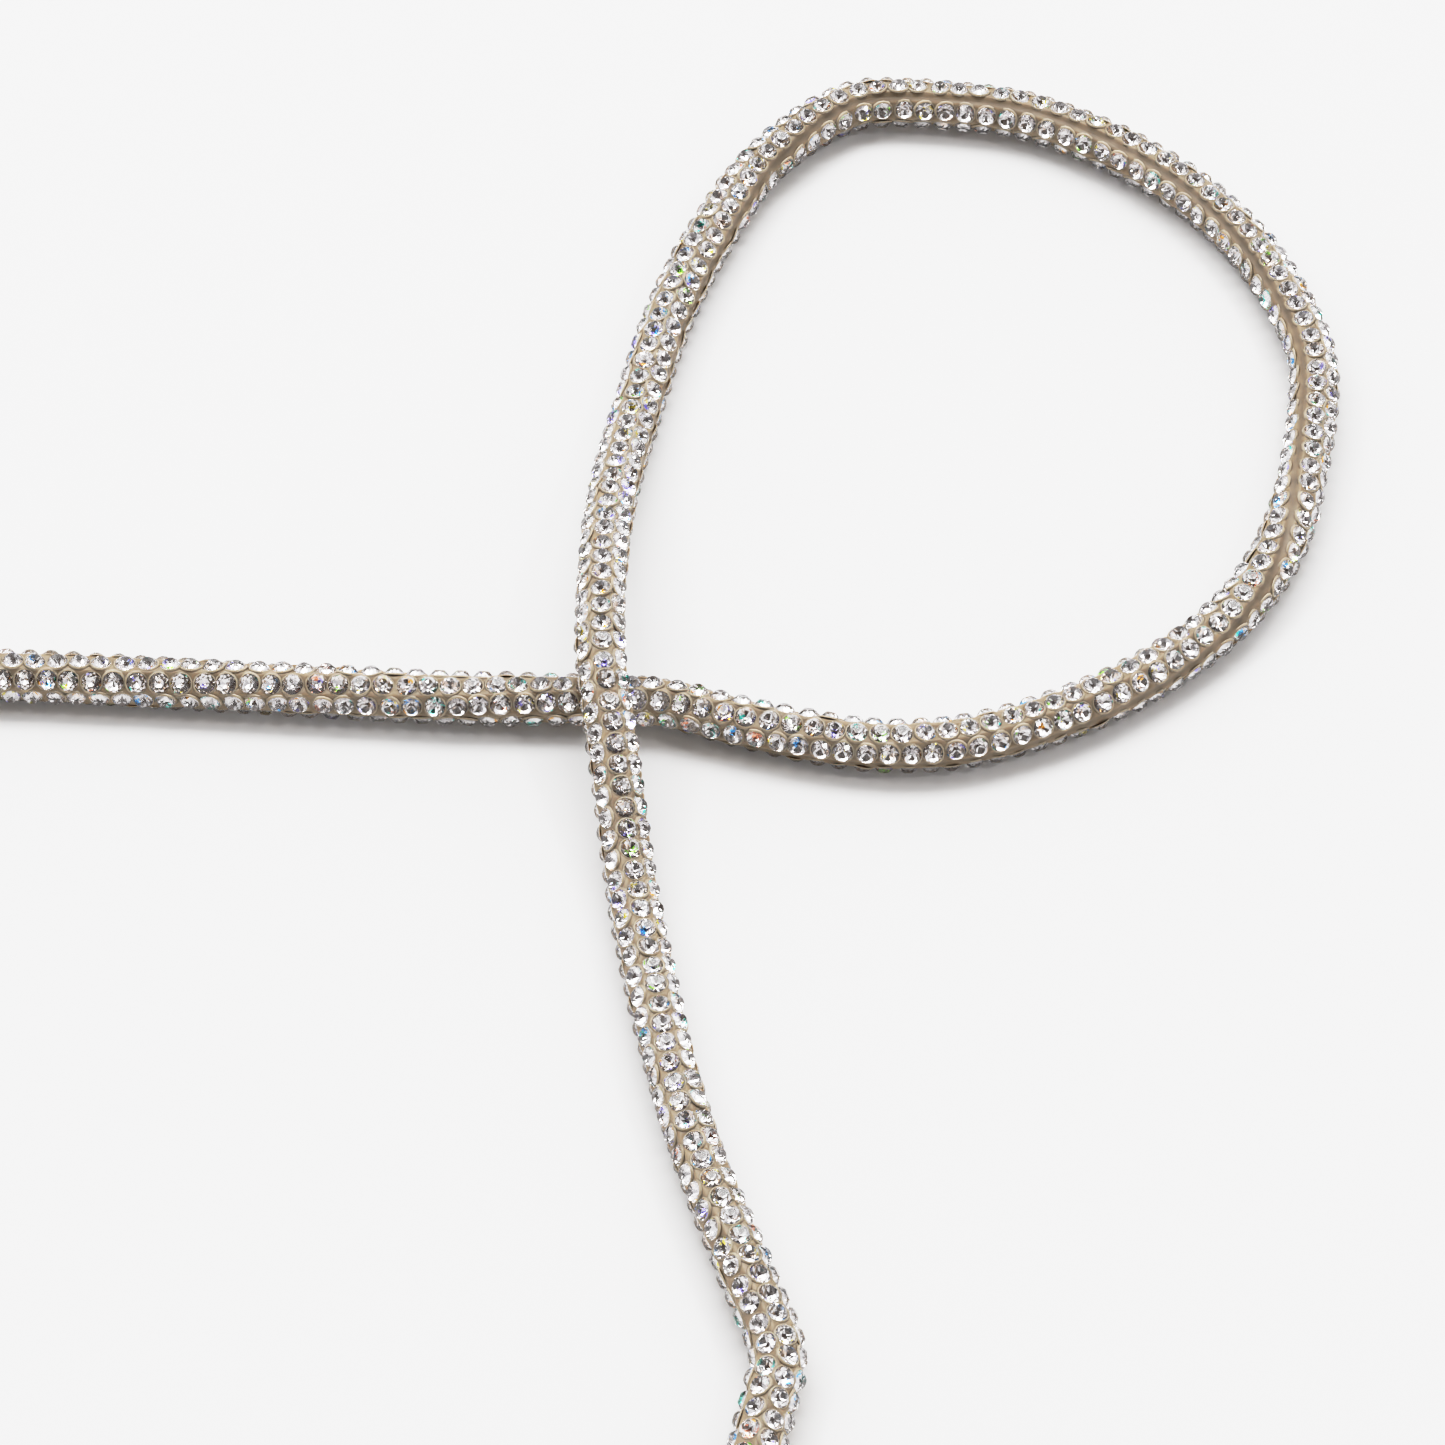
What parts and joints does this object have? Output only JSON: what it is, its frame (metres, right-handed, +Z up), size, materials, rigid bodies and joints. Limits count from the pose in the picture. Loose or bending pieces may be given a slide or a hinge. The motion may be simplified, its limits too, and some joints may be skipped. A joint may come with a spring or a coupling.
{
  "type": "rhinestone cord",
  "caption": "Round trimming cord set all round with rows of small clear stones, a cut length lying in an open loop that crosses over itself.",
  "frame": {"origin": "centre of the bounding box, on the surface that the cord lies on", "axes": "+Z up from the surface, +X to the right and +Y away from the camera in the picture"},
  "size_m": [0.1712, 0.1957, 0.0115],
  "materials": {
    "band": "soft translucent taupe band with a satin surface, rolled into a tube",
    "stones": "clear faceted stones with a mirrored back, set in rows"
  },
  "bodies": {
    "root": {"cord": "band"}
  },
  "joints": []
}
